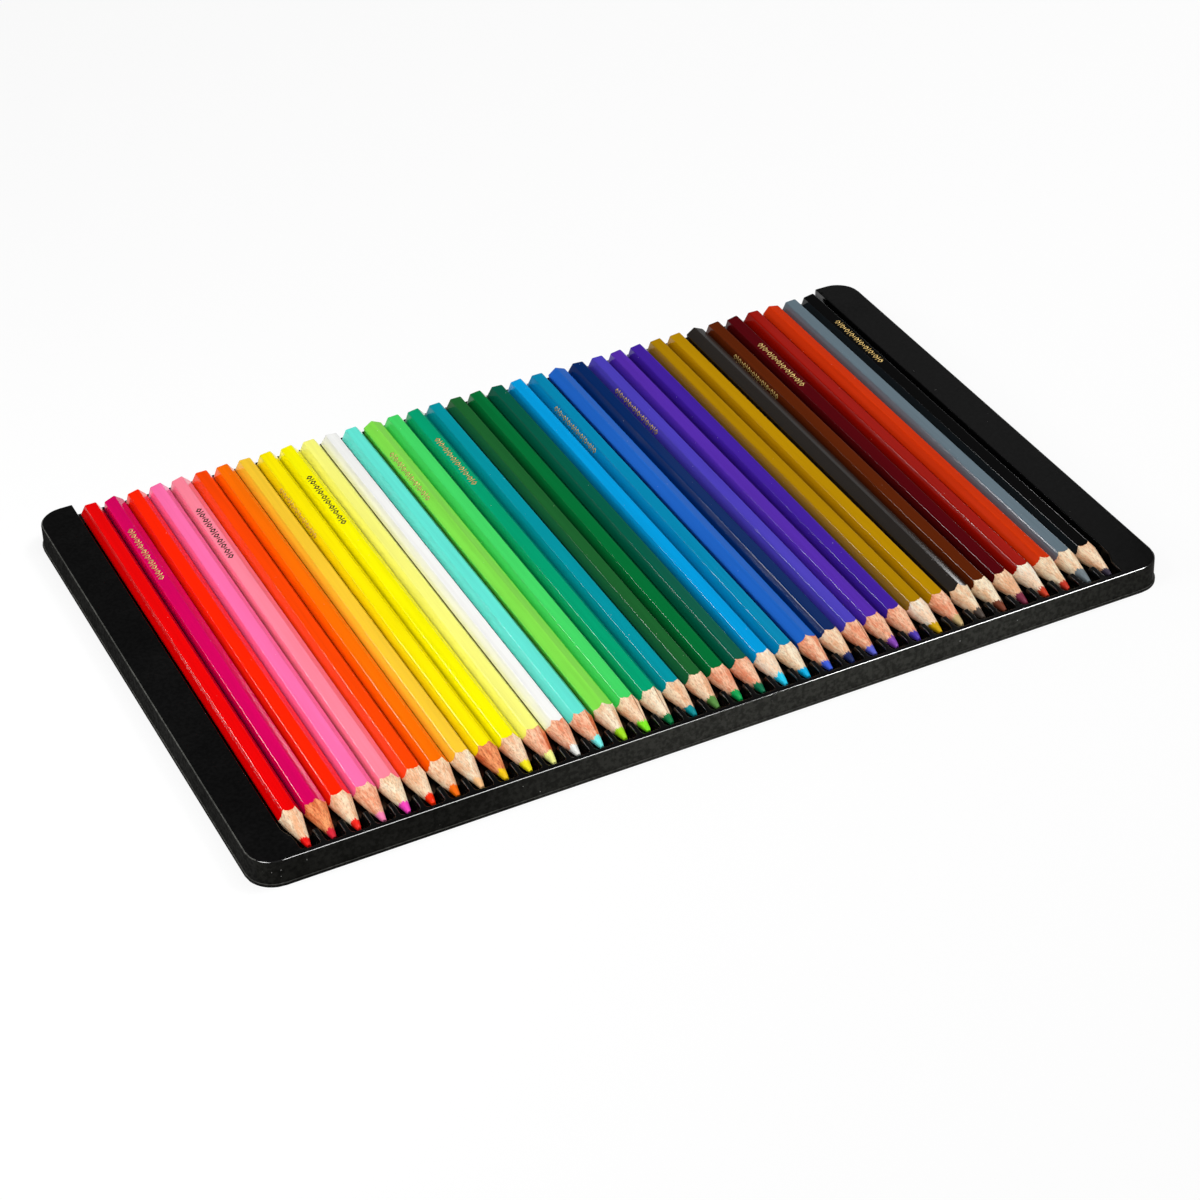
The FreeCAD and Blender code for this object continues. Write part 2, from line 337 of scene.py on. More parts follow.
@dataclass(frozen=True)
class TrayPlastic:
    """Black formed sheet with faint waves, rubbed patches, a paler patch of painted sheen and a little dust.
    """

    name: str
    colour: RGB
    shine: float
    gloss_rough: float
    rubbed_rough: float
    waviness: float = 0.5
    ior: float = GLOSS_IOR
    rubs: Pattern = Pattern(70.0, detail=5.0)
    rub_tones: Stretch = (0.3, 0.75)
    rub_gloss: Stretch = (0.35, 0.7)
    rub_light: float = 1.7
    waves: Pattern = Pattern(38.0, detail=2.0)
    wave_share: float = 0.94
    grain: Pattern = Pattern(900.0, detail=2.0)
    grain_share: float = 0.06
    grain_tones: Stretch = (0.4, 0.62)
    grain_shade: RGB = (196, 196, 196)
    relief_mm: float = 0.1
    # Painted sheen: a paler colour laid in a patch that fades out round a place on the front wall.
    painted_sheen_share: float = 0.0
    painted_sheen: RGB = (68, 68, 64)
    painted_sheen_centre: Place = (0.035, -0.092, 0.004)
    painted_sheen_reach: float = 0.13
    painted_sheen_fade: Stretch = (0.1, 0.6)
    dust: RGB = (190, 190, 186)
    dust_places: float = 420.0
    dust_radius: float = 0.05
    dust_free: float = 0.72

    def material(self) -> bpy.types.Material:
        """Make the material.

        Returns:
            The finished material.
        """
        wiring = Wiring(self.name)
        rubs, waves, grain = (wiring.cloud(pattern) for pattern in (self.rubs, self.waves, self.grain))
        # Painted sheen: the paler patch round that place.
        painted_sheen_patch = wiring.patch(self.painted_sheen_centre, self.painted_sheen_reach)
        specks = wiring.dots(self.dust_places, self.dust_radius, self.dust_free)
        paler = toned(self.colour, self.rub_light)
        sheet = wiring.mixed(wiring.span(rubs, self.rub_tones), linear(self.colour), paler)
        painted_sheen_mix = wiring.span(painted_sheen_patch, self.painted_sheen_fade, (0.0, self.painted_sheen_share))
        sheet = wiring.mixed(painted_sheen_mix, sheet, linear(self.painted_sheen))
        shade = wiring.span(grain, self.grain_tones)
        sheet = wiring.mixed(shade, sheet, linear(self.grain_shade), "MULTIPLY")
        rough = wiring.span(rubs, self.rub_gloss, (self.gloss_rough, self.rubbed_rough))
        wiring.shade(Base_Color=wiring.mixed(specks, sheet, linear(self.dust)), IOR=self.ior,
                     Specular_IOR_Level=self.shine, Roughness=rough)
        height = wiring.sum(wiring.span(waves, NOISE_RANGE, (0.0, self.wave_share)),
                            wiring.span(grain, NOISE_RANGE, (0.0, self.grain_share)))
        wiring.raise_surface(height, self.relief_mm, self.waviness)
        return wiring.material


class TrayFinish(Enum):
    """Finishes of the tray, by their places on it."""

    TOP = TrayPlastic("tray_plastic", (9, 9, 9), 0.36, 0.12, 0.22)
    RIM = TrayPlastic("tray_rim", (16, 16, 16), 1.0, 0.08, 0.14, 0.1, 2.2)
    # The walls are lighter than the black top and all but shineless: painted sheen in place of the floor's
    # reflection.
    WALL = TrayPlastic("tray_wall_painted_sheen", (28, 28, 26), 0.004, 0.34, 0.48,
                       painted_sheen_share=1.0, dust_radius=0.08, dust_free=0.45)
    # Paler and fully matte, on the end rims' bends and the foot ledge: wear, and a painted highlight line.
    EDGE = TrayPlastic("tray_worn_edge_painted_highlight", (72, 72, 69), 0.0, 0.34, 0.48)
    # The end walls likewise: lighter than the top and shineless, which is painted sheen.
    END_WALL = TrayPlastic("tray_end_wall_painted_sheen", (30, 30, 29), 0.0, 0.34, 0.48)

    def number(self) -> int:
        """Give the material number of the tray's faces with this finish."""
        return list(TrayFinish).index(self)


@dataclass(frozen=True)
class Lacquer:
    """Dipped gloss lacquer of one colour, faintly streaked along the pencil, with specks of dust."""

    name: str
    colour: RGB
    shine: float = 0.4
    rough: Stretch = (0.09, 0.15)
    streaks: Pattern = Pattern(700.0, 0.03)
    streak_tones: Stretch = (0.35, 0.75)
    streak_light: float = 0.88
    streak_share: float = 0.7
    pools: Pattern = Pattern(160.0, 0.2, 2.0)
    peel: Pattern = Pattern(1400.0, detail=2.0)
    peel_share: float = 0.08
    relief: Stretch = (0.02, 0.1)
    dust: RGB = (236, 232, 226)
    dust_places: float = 430.0
    dust_radius: float = 0.065
    dust_free: float = 0.45
    dust_cover: float = 0.5

    def material(self) -> bpy.types.Material:
        """Make the material.

        Returns:
            The finished material.
        """
        wiring = Wiring(self.name + "_lacquer")
        streaks, pools, peel = (wiring.cloud(pattern) for pattern in (self.streaks, self.pools, self.peel))
        specks = wiring.dots(self.dust_places, self.dust_radius, self.dust_free)
        deep = toned(self.colour, self.streak_light)
        streaked = wiring.mixed(wiring.span(streaks, self.streak_tones), linear(self.colour), deep)
        dusty = wiring.span(specks, (0.0, 1.0), (0.0, self.dust_cover))
        wiring.shade(Base_Color=wiring.mixed(dusty, streaked, linear(self.dust)), IOR=GLOSS_IOR,
                     Specular_IOR_Level=self.shine, Roughness=wiring.span(pools, NOISE_MIDDLE, self.rough))
        height = wiring.sum(wiring.span(streaks, NOISE_RANGE, (0.0, self.streak_share)),
                            wiring.span(peel, NOISE_RANGE, (0.0, self.peel_share)))
        wiring.raise_surface(height, *self.relief)
        return wiring.material


@dataclass(frozen=True)
class BareWood:
    """Freshly sharpened wood: fibres along the pencil, pores and the faint rings of the sharpener."""

    tint: WoodTint
    shine: float = 0.25
    rough: float = 0.66
    fibres: Pattern = Pattern(2300.0, 0.08, 4.0, 0.65)
    fibre_share: float = 0.8
    bands: Pattern = Pattern(420.0, 0.12, 2.0)
    grain_tones: Stretch = (0.86, 1.16)
    pores: Pattern = Pattern(3200.0, 0.2, 1.0)
    pore_tones: Stretch = (0.5, 0.7)
    pore_cover: float = 0.5
    pore_light: float = 0.5
    rings: float = 900.0
    ring_wobble: float = 1.5
    ring_share: float = 0.2
    relief: Stretch = (0.09, 0.7)

    def material(self) -> bpy.types.Material:
        """Make the material.

        Returns:
            The finished material.
        """
        wiring = Wiring(self.tint.name.lower() + "_wood")
        light, dark = self.tint.value
        fibres, bands, pores = (wiring.cloud(pattern) for pattern in (self.fibres, self.bands, self.pores))
        grain = wiring.span(wiring.sum(fibres, bands), self.grain_tones)
        pitted = wiring.span(pores, self.pore_tones, (0.0, self.pore_cover))
        colour = wiring.mixed(pitted, wiring.mixed(grain, linear(light), linear(dark)),
                              toned(dark, self.pore_light))
        rings = wiring.node("ShaderNodeTexWave", bands_direction="Y")
        wiring.fill(rings.inputs["Vector"], wiring.place)
        rings.inputs["Scale"].default_value = self.rings
        rings.inputs["Distortion"].default_value = self.ring_wobble
        height = wiring.sum(wiring.span(fibres, NOISE_RANGE, (0.0, self.fibre_share)),
                            wiring.span(rings.outputs["Fac"], (0.0, 1.0), (0.0, self.ring_share)))
        wiring.shade(Base_Color=colour, Roughness=self.rough, Specular_IOR_Level=self.shine)
        wiring.raise_surface(height, *self.relief)
        return wiring.material


@dataclass(frozen=True)
class Pigment:
    """Waxy coloured core, scored by the sharpener."""

    name: str
    colour: RGB
    shine: float = 0.14
    rough: Stretch = (0.3, 0.55)
    mottle: Pattern = Pattern(2200.0, 0.35, 4.0, 0.6)
    scores: Pattern = Pattern(1700.0, 0.12, 2.0)
    score_tones: Stretch = (0.9, 1.25)
    score_light: float = 0.86
    relief: Stretch = (0.06, 0.8)

    def material(self) -> bpy.types.Material:
        """Make the material.

        Returns:
            The finished material.
        """
        wiring = Wiring(self.name + "_core")
        mottle = wiring.cloud(self.mottle)
        height = wiring.sum(mottle, wiring.cloud(self.scores))
        deep = toned(self.colour, self.score_light)
        colour = wiring.mixed(wiring.span(height, self.score_tones), linear(self.colour), deep)
        wiring.shade(Base_Color=colour, Specular_IOR_Level=self.shine,
                     Roughness=wiring.span(mottle, NOISE_MIDDLE, self.rough))
        wiring.raise_surface(height, *self.relief)
        return wiring.material


@dataclass(frozen=True)
class GoldFoil:
    """Hot-stamped foil, slightly crazed."""

    name: str
    colour: RGB
    metal: float
    rough: Stretch = (0.25, 0.5)
    crazing: Pattern = Pattern(2600.0)
    worn_tones: Stretch = (0.45, 0.75)
    worn_light: float = 0.6
    relief: Stretch = (0.02, 0.5)

    def material(self) -> bpy.types.Material:
        """Make the material.

        Returns:
            The finished material.
        """
        wiring = Wiring(self.name)
        crazing = wiring.cloud(self.crazing)
        worn = toned(self.colour, self.worn_light)
        colour = wiring.mixed(wiring.span(crazing, self.worn_tones), linear(self.colour), worn)
        wiring.shade(Base_Color=colour, Metallic=self.metal,
                     Roughness=wiring.span(crazing, NOISE_MIDDLE, self.rough))
        wiring.raise_surface(crazing, *self.relief)
        return wiring.material


class Foil(Enum):
    """Foils of the stamped ornament: gold for deep lacquers, and for pale ones a darker copy of the same gold
    with painted shade.
    """

    GOLD = GoldFoil("gold_foil", (232, 196, 120), 0.5)
    # A darker copy of the gold foil: painted shade on the stamps of pale pencils.
    BRONZE = GoldFoil("painted_shade_gold_foil", (62, 46, 22), 0.3)


@dataclass(frozen=True)
class PaleFloor:
    """Plain white studio floor that keeps a soft shadow."""

    colour: RGB = (250, 250, 250)
    shine: float = 0.1
    rough: float = 0.9
    paper: Pattern = Pattern(400.0, detail=2.0)
    paper_light: float = 0.99
    glow: float = 0.85

    def material(self) -> bpy.types.Material:
        """Make the material: lit paper, partly lifted to white where the camera or a reflection sees it.

        Returns:
            The finished material.
        """
        wiring = Wiring("pale_floor")
        near = toned(self.colour, self.paper_light)
        wiring.shade(Base_Color=wiring.mixed(wiring.cloud(self.paper), linear(self.colour), near),
                     Roughness=self.rough, Specular_IOR_Level=self.shine)
        rays = wiring.node("ShaderNodeLightPath").outputs
        seen = wiring.sum(rays["Is Camera Ray"], rays["Is Glossy Ray"])
        seen = wiring.sum(seen, rays["Is Transmission Ray"])
        white = wiring.node("ShaderNodeEmission")
        lifted = wiring.node("ShaderNodeMixShader")
        wiring.fill(lifted.inputs["Fac"], wiring.span(seen, (0.0, 1.0), (0.0, self.glow)))
        wiring.fill(lifted.inputs[1], wiring.shader.outputs["BSDF"])
        wiring.fill(lifted.inputs[2], white.outputs["Emission"])
        wiring.fill(wiring.tree.nodes["Material Output"].inputs["Surface"], lifted.outputs["Shader"])
        return wiring.material


def finished_piece(name: str, bm: BMesh, materials: Iterable[bpy.types.Material]) -> bpy.types.Object:
    """Turn a mesh drawn in millimetres into a piece at the origin, with its place in its mesh.

    Args:
        name: The piece's name.
        bm: The drawn mesh, which is used up.
        materials: Its materials, in the order of the faces' numbers.

    Returns:
        The new object.
    """
    bmesh.ops.scale(bm, vec=(MM, MM, MM), verts=bm.verts)
    mesh = bpy.data.meshes.new(name)
    bm.to_mesh(mesh)
    bm.free()
    for material in materials:
        mesh.materials.append(material)
    for polygon in mesh.polygons:
        polygon.use_smooth = True
    piece = bpy.data.objects.new(name, mesh)
    bpy.context.scene.collection.objects.link(piece)
    even = piece.modifiers.new("even_shading", "WEIGHTED_NORMAL")
    even.keep_sharp = True
    log.info("%s: %d faces", name, len(mesh.polygons))
    return piece


def grown_ring(bm: BMesh, edges: Sequence[BMEdge], place: Callable[[Vector], Vector],
               finish: int) -> list[BMEdge]:
    """Extrude a loop of edges and set each new point by where it starts.

    Args:
        bm: The mesh.
        edges: The loop to extrude.
        place: Gives a new point's place from its old one.
        finish: The material number of the new faces.

    Returns:
        The new loop's edges.
    """
    made = bmesh.ops.extrude_edge_only(bm, edges=list(edges))["geom"]
    for item in made:
        if isinstance(item, BMVert):
            item.co = place(item.co.copy())
        elif isinstance(item, BMFace):
            item.material_index = finish
    return [item for item in made if isinstance(item, BMEdge) and item.is_boundary]


@dataclass
class FormedTray:
    """The black tray, drawn as two skins of one thin sheet that meet at the foot's lower edge.

    The inset says how far the skin at hand lies inside the outer one.
    """

    axes: Sequence[float]
    axis_height: float
    half_width: float
    half_depth: float
    height: float
    inset: float = 0.0
    sheet: float = 0.5
    foot_step: float = 0.55
    foot_height: float = 0.8
    trim_slant: float = 0.1
    corner_radius: float = 8.0
    rim_round: float = 0.45
    rim_least: float = 0.25
    rim_steps: int = 6
    polished_share: float = 0.5
    end_from: float = 0.8
    wall_draft: float = 0.12
    rib_drop: float = 3.95
    groove_radius: float = 3.564
    groove_end_run: float = 0.2
    front_strip: float = 1.8
    back_strip: float = 3.3
    hump_length: float = 7.7
    hump_foot: float = 0.75
    hump_run: float = 2.35
    hump_power: float = 0.8
    notch_round: float = 1.4
    bay_side_gap: float = 1.77
    bay_least_share: float = 0.01
    shoulder_back: float = 3.0
    shoulder_length: float = 6.0
    lead_shares: Sequence[float] = (0.0, 0.25, 0.6)
    notch_steps: Sequence[float] = (-0.22, -0.1, -0.03, 0.02, 0.08, 0.2, 0.42, 0.75, 1.2, 1.9, 2.8, 3.8)
    hump_steps: Sequence[float] = (-1.6, -1.1, -0.75, -0.45, -0.2, 0.0, 0.2, 0.45, 0.75)
    bay_shares: Sequence[float] = (0.28, 0.14, 0.0)
    back_steps: Sequence[float] = (-5.0, -2.8, -1.4, -0.7, -0.3, -0.1, 0.0, 0.1, 0.3)
    rear_shares: Sequence[float] = (0.35, 0.62, 0.82, 0.94, 1.0)
    floor_shares: Sequence[float] = (-1.0, -0.86, -0.6, -0.3, 0.0, 0.3, 0.6, 0.86, 1.0)
    wall_steps: Sequence[Stretch] = ((0.05, 0.8), (0.12, 0.94), (0.24, 0.99), (0.45, 1.0))
    margin_shares: Sequence[float] = (0.12, 0.5, 0.88, 1.0)

    def __post_init__(self) -> None:
        """Work out the skin's levels and its places along the pencils."""
        rib_height = self.height - self.rib_drop
        groove_front = self.front_strip - self.half_depth
        hump_back = groove_front + self.hump_length
        self.pitch = self.axes[1] - self.axes[0]
        self.rib_below = self.axis_height - rib_height
        self.groove_half = math.sqrt(self.groove_radius ** 2 - self.rib_below ** 2) + self.inset
        self.top = self.height - self.inset
        self.rib_top = rib_height - self.inset
        self.rim_radius = max(self.rim_round - self.inset, self.rim_round * self.rim_least)
        self.front = groove_front - self.inset
        self.back = self.half_depth - self.back_strip + self.inset
        self.hump_back = hump_back - self.inset
        self.shoulder_y = hump_back + self.shoulder_back

    def stations(self) -> list[float]:
        """Give the places along the pencils where the sheet's section is drawn.

        Returns:
            Y of each section, from front to back.
        """
        edge = self.half_depth - self.inset - self.rim_radius
        notch = [self.front + step for step in self.notch_steps]
        humps = [self.hump_back + step for step in self.hump_steps]
        bay = [self.shoulder_y - share * self.shoulder_length for share in self.bay_shares]
        back = [self.back + step for step in self.back_steps]
        lead = [blend(-edge, notch[0], share) for share in self.lead_shares]
        rear = [blend(back[-1], edge, share) for share in self.rear_shares]
        return lead + notch + humps + bay + back + rear

    def outer_edge(self, y: float) -> float:
        """Give half the flat top's width, narrowed round the plan corners.

        Args:
            y: The station.

        Returns:
            The distance from the middle of the tray.
        """
        radius = self.corner_radius - self.inset - self.rim_radius
        past = max(abs(y) - (self.half_depth - self.corner_radius), 0.0)
        return self.half_width - self.corner_radius + math.sqrt(max(radius ** 2 - past ** 2, 0.0))

    def notch_half(self, y: float) -> float:
        """Give half a groove's width, rounded at the front of the notch.

        Args:
            y: The station.

        Returns:
            The distance from the groove's axis.
        """
        step = min(max(y - self.front, 0.0), self.notch_round)
        rounding = math.sqrt(self.notch_round ** 2 - (self.notch_round - step) ** 2) - self.notch_round
        return self.groove_half + rounding

    def crest(self, y: float) -> float:
        """Give the level between two grooves: the top of a hump in front, of a rib behind."""
        rise = ease((self.hump_back + self.hump_foot - y) / self.hump_run) ** self.hump_power
        return blend(self.rib_top, self.top, rise)

    def floor(self, y: float, across: float) -> float:
        """Give the level inside a groove.

        Args:
            y: The station.
            across: The distance from the groove's axis.

        Returns:
            The level above the table.
        """
        room = (self.groove_radius + self.inset) ** 2 - across ** 2
        rib_room = (self.rib_below + self.inset) ** 2
        round_floor = self.axis_height - math.sqrt(max(room, rib_room))
        run = self.groove_end_run
        opened = ease((y - self.front + run / 2) / run)
        closed = ease((y - self.back + run / 2) / run)
        return blend(self.top, blend(round_floor, self.rib_top, closed), opened)

    def bay_wall(self, y: float) -> float:
        """Give the distance of the bay's end wall from the end groove's axis, along the S of its shoulder."""
        share = ease((y - (self.shoulder_y - self.shoulder_length)) / self.shoulder_length)
        return self.notch_half(y) + self.bay_side_gap * max(share, self.bay_least_share)

    def section(self, y: float) -> list[tuple[float, float]]:
        """Draw the sheet's section across the pencils.

        Args:
            y: The station.

        Returns:
            X and level of each point, from left to right.
        """
        half = self.notch_half(y)
        rib_half = self.pitch / 2 - half
        low = self.floor(y, half)
        crest = max(self.crest(y), low)
        points: list[tuple[float, float]] = []
        for axis in self.axes:
            left = [(axis - half - step * rib_half, blend(low, crest, rise))
                    for step, rise in self.wall_steps]
            floor = [(axis + share * half, self.floor(y, share * half)) for share in self.floor_shares]
            right = [(2 * axis - x, z) for x, z in left]
            points += [(axis - self.pitch / 2, crest)] + left[::-1] + floor + right
        first, last = self.axes[0], self.axes[-1]
        wall = self.bay_wall(y)
        edge = self.outer_edge(y) - last
        rib_part = self.pitch / 2 - self.groove_half
        end = [(wall, low)]
        end += [(wall + step * rib_part, blend(low, self.top, rise)) for step, rise in self.wall_steps]
        bend = end[-1][0]
        end += [(blend(bend, edge, share), self.top) for share in self.margin_shares]
        left_end = [(first - x, z) for x, z in end][::-1]
        right_end = [(last + x, z) for x, z in end]
        cut = len(self.wall_steps) + 1
        return left_end + points[cut:len(points) - cut + 1] + right_end

    def outward(self, point: Vector) -> Vector:
        """Give the direction straight out of the tray's plan at a point near its outline.

        Args:
            point: The point.

        Returns:
            A level direction of length 1.
        """
        inner_x = self.half_width - self.corner_radius
        inner_y = self.half_depth - self.corner_radius
        near = Vector((min(max(point.x, -inner_x), inner_x), min(max(point.y, -inner_y), inner_y), 0.0))
        return (Vector((point.x, point.y, 0.0)) - near).normalized()

    def formed_top(self, bm: BMesh) -> list[BMEdge]:
        """Draw the skin's formed top from its sections.

        Args:
            bm: The mesh to draw in.

        Returns:
            The edges of its outline.
        """
        rows = [[(x, y, z) for x, z in self.section(y)] for y in self.stations()]
        across, along = len(rows[0]) - 1, len(rows) - 1
        grid = bmesh.ops.create_grid(bm, x_segments=across, y_segments=along, size=1.0)["verts"]
        grid.sort(key=lambda vert: (round(vert.co.y * along), vert.co.x))
        for vert, place in zip(grid, (point for row in rows for point in row)):
            vert.co = place
        corners = set(grid)
        return [edge for edge in bm.edges if edge.is_boundary and edge.verts[0] in corners]

    def skin(self, bm: BMesh) -> list[BMEdge]:
        """Draw the skin: its formed top, the rim, the wall and the foot.

        Args:
            bm: The mesh to draw in.

        Returns:
            The edges of the foot's lower rim.
        """
        loop = self.formed_top(bm)
        # The worn finish is paler and matte: wear, and a painted highlight line.
        rim, wall, worn = (finish.number() for finish in (TrayFinish.RIM, TrayFinish.WALL, TrayFinish.EDGE))
        turned = 0.0
        for index in range(1, self.rim_steps + 1):
            step = index / self.rim_steps
            angle = step * math.pi / 2
            out = self.rim_radius * (math.sin(angle) - math.sin(turned))
            down = self.rim_radius * (math.cos(turned) - math.cos(angle))
            finish = rim if step <= self.polished_share else wall
            loop = grown_ring(bm, loop, lambda p: p + self.outward(p) * out - Vector((0, 0, down)), finish)
            turned = angle
        ledge = self.foot_height - self.inset
        tenth = self.foot_step / 10
        flat = self.foot_step - self.wall_draft - 5 * tenth
        # The foot ledge takes the worn finish, whose paler band is also a painted highlight line above the
        # lip.
        for out, level, finish in (
                (self.wall_draft, ledge + 2 * tenth, wall), (tenth, ledge + tenth / 2, wall),
                (2 * tenth, ledge, worn), (flat, ledge, worn), (tenth, ledge - tenth / 2, worn),
                (tenth, ledge - 2 * tenth, wall), (0.0, self.inset * self.trim_slant, wall)):
            loop = grown_ring(bm, loop, lambda p: Vector((*(p + self.outward(p) * out).xy, level)), finish)
        return loop

    def finish_ends(self, bm: BMesh) -> None:
        """Give the rim's bend and the wall their own finishes at both ends of the tray.

        Args:
            bm: The drawn tray.
        """
        # At the ends, the rim's bend takes the worn finish, a paler matte band with a painted highlight line,
        # and the wall a shineless copy with painted sheen.
        at_ends = {TrayFinish.RIM.number(): TrayFinish.EDGE.number(),
                   TrayFinish.WALL.number(): TrayFinish.END_WALL.number()}
        for face in bm.faces:
            if abs(self.outward(face.calc_center_median()).x) > self.end_from:
                face.material_index = at_ends.get(face.material_index, face.material_index)

    def build(self) -> None:
        """Draw both skins, close the foot between them and give the tray its finishes."""
        bm = bmesh.new()
        outer = self.skin(bm)
        inner = replace(self, inset=self.sheet).skin(bm)
        bmesh.ops.bridge_loops(bm, edges=outer + inner)
        bmesh.ops.recalc_face_normals(bm, faces=bm.faces)
        self.finish_ends(bm)
        piece = finished_piece("formed_tray", bm, [finish.value.material() for finish in TrayFinish])
        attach(piece, TRAY_NODE)
        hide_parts(TRAY_NODE)


@dataclass(frozen=True)
class PencilLook:
    """What sets one pencil apart: its colours, its wood and how it was sharpened and stamped."""

    name: str
    lacquer: RGB
    core: RGB
    wood: WoodTint
    core_length: float = 4.2
    stamp: StampSide = StampSide.UNDER
    seam: Seam = Seam.HIDDEN


LOOKS: tuple[PencilLook, ...] = (
    PencilLook("scarlet", (234, 0, 2), (240, 14, 8), WoodTint.BEIGE, 3.2),
    PencilLook("magenta", (213, 0, 92), (220, 34, 54), WoodTint.AMBER, 3.0, StampSide.TOP),
    PencilLook("vermilion", (255, 34, 0), (246, 36, 24), WoodTint.BEIGE, 3.2),
    PencilLook("pink", (255, 112, 172), (255, 130, 178), WoodTint.SALMON, 2.8),
    PencilLook("rose", (255, 134, 156), (252, 68, 190), WoodTint.CREAM, 3.8, StampSide.TOP),
    PencilLook("red_orange", (255, 70, 0), (255, 46, 0), WoodTint.BEIGE, 3.6),
    PencilLook("orange", (255, 112, 0), (255, 112, 2), WoodTint.BEIGE, 3.6),
    PencilLook("apricot", (255, 206, 52), (255, 198, 138), WoodTint.CREAM, 3.4),
    PencilLook("golden_yellow", (255, 236, 0), (255, 206, 18), WoodTint.AMBER, 3.6, StampSide.LEFT),
    PencilLook("yellow", (255, 248, 0), (255, 238, 24), WoodTint.BEIGE, 4.0, StampSide.TOP),
    PencilLook("pale_yellow", (255, 253, 126), (255, 255, 150), WoodTint.SALMON, 4.2, seam=Seam.TWO_TONE),
    PencilLook("white", (251, 251, 248), (248, 248, 242), WoodTint.SALMON, 3.6),
    PencilLook("turquoise", (102, 234, 216), (126, 250, 244), WoodTint.SALMON, 4.0, seam=Seam.TWO_TONE),
    PencilLook("grass_green", (136, 230, 80), (166, 230, 30), WoodTint.CREAM, 4.0, StampSide.LEFT),
    PencilLook("bright_green", (70, 220, 104), (134, 246, 36), WoodTint.BEIGE, 4.2, seam=Seam.LINE),
    PencilLook("sea_green", (0, 163, 114), (6, 128, 70), WoodTint.CREAM, 3.6, StampSide.TOP, Seam.LINE),
    PencilLook("teal", (0, 151, 165), (0, 148, 156), WoodTint.BEIGE, 3.6),
    PencilLook("forest_green", (28, 100, 46), (94, 148, 70), WoodTint.BEIGE, 4.2),
    PencilLook("leaf_green", (0, 114, 54), (8, 170, 84), WoodTint.SALMON, 3.6),
    PencilLook("bottle_green", (0, 94, 72), (8, 116, 78), WoodTint.SALMON, 3.6),
    PencilLook("sky_blue", (0, 160, 228), (34, 212, 250), WoodTint.IVORY, 4.2),
    PencilLook("cerulean", (0, 140, 184), (0, 186, 240), WoodTint.CREAM, 3.8, StampSide.LEFT),
    PencilLook("royal_blue", (34, 106, 206), (62, 98, 226), WoodTint.SALMON, 3.6),
    PencilLook("navy", (0, 40, 100), (28, 42, 100), WoodTint.BEIGE, 3.8),
    PencilLook("blue_violet", (78, 66, 192), (96, 102, 218), WoodTint.SALMON, 3.6, StampSide.LEFT, Seam.LINE),
    PencilLook("purple", (88, 46, 176), (140, 72, 184), WoodTint.SALMON, 4.0),
    PencilLook("violet", (68, 34, 162), (84, 60, 184), WoodTint.SALMON, 3.8),
    PencilLook("ochre", (176, 131, 0), (220, 172, 2), WoodTint.IVORY, 4.2),
    PencilLook("dark_ochre", (190, 142, 0), (216, 186, 130), WoodTint.SALMON, 3.8),
    PencilLook("charcoal", (44, 40, 37), (84, 72, 64), WoodTint.CREAM, 3.8),
    PencilLook("brown", (94, 34, 4), (126, 64, 42), WoodTint.CREAM, 4.0, StampSide.LEFT),
    PencilLook("maroon", (84, 2, 10), (132, 48, 72), WoodTint.BEIGE, 4.0, StampSide.TOP),
    PencilLook("brick_red", (162, 14, 0), (214, 64, 34), WoodTint.IVORY, 3.4),
    PencilLook("rust", (218, 54, 6), (210, 56, 36), WoodTint.CREAM, 3.2),
    PencilLook("slate_grey", (103, 120, 130), (118, 130, 136), WoodTint.CREAM, 5.6),
    PencilLook("black", (8, 8, 8), (62, 55, 72), WoodTint.BEIGE, 2.8, StampSide.TOP),
)


class Finish(Enum):
    """Material numbers of a pencil's faces."""

    LACQUER = 0
    WOOD = 1
    OTHER_WOOD = 2
    CORE = 3
    FOIL = 4


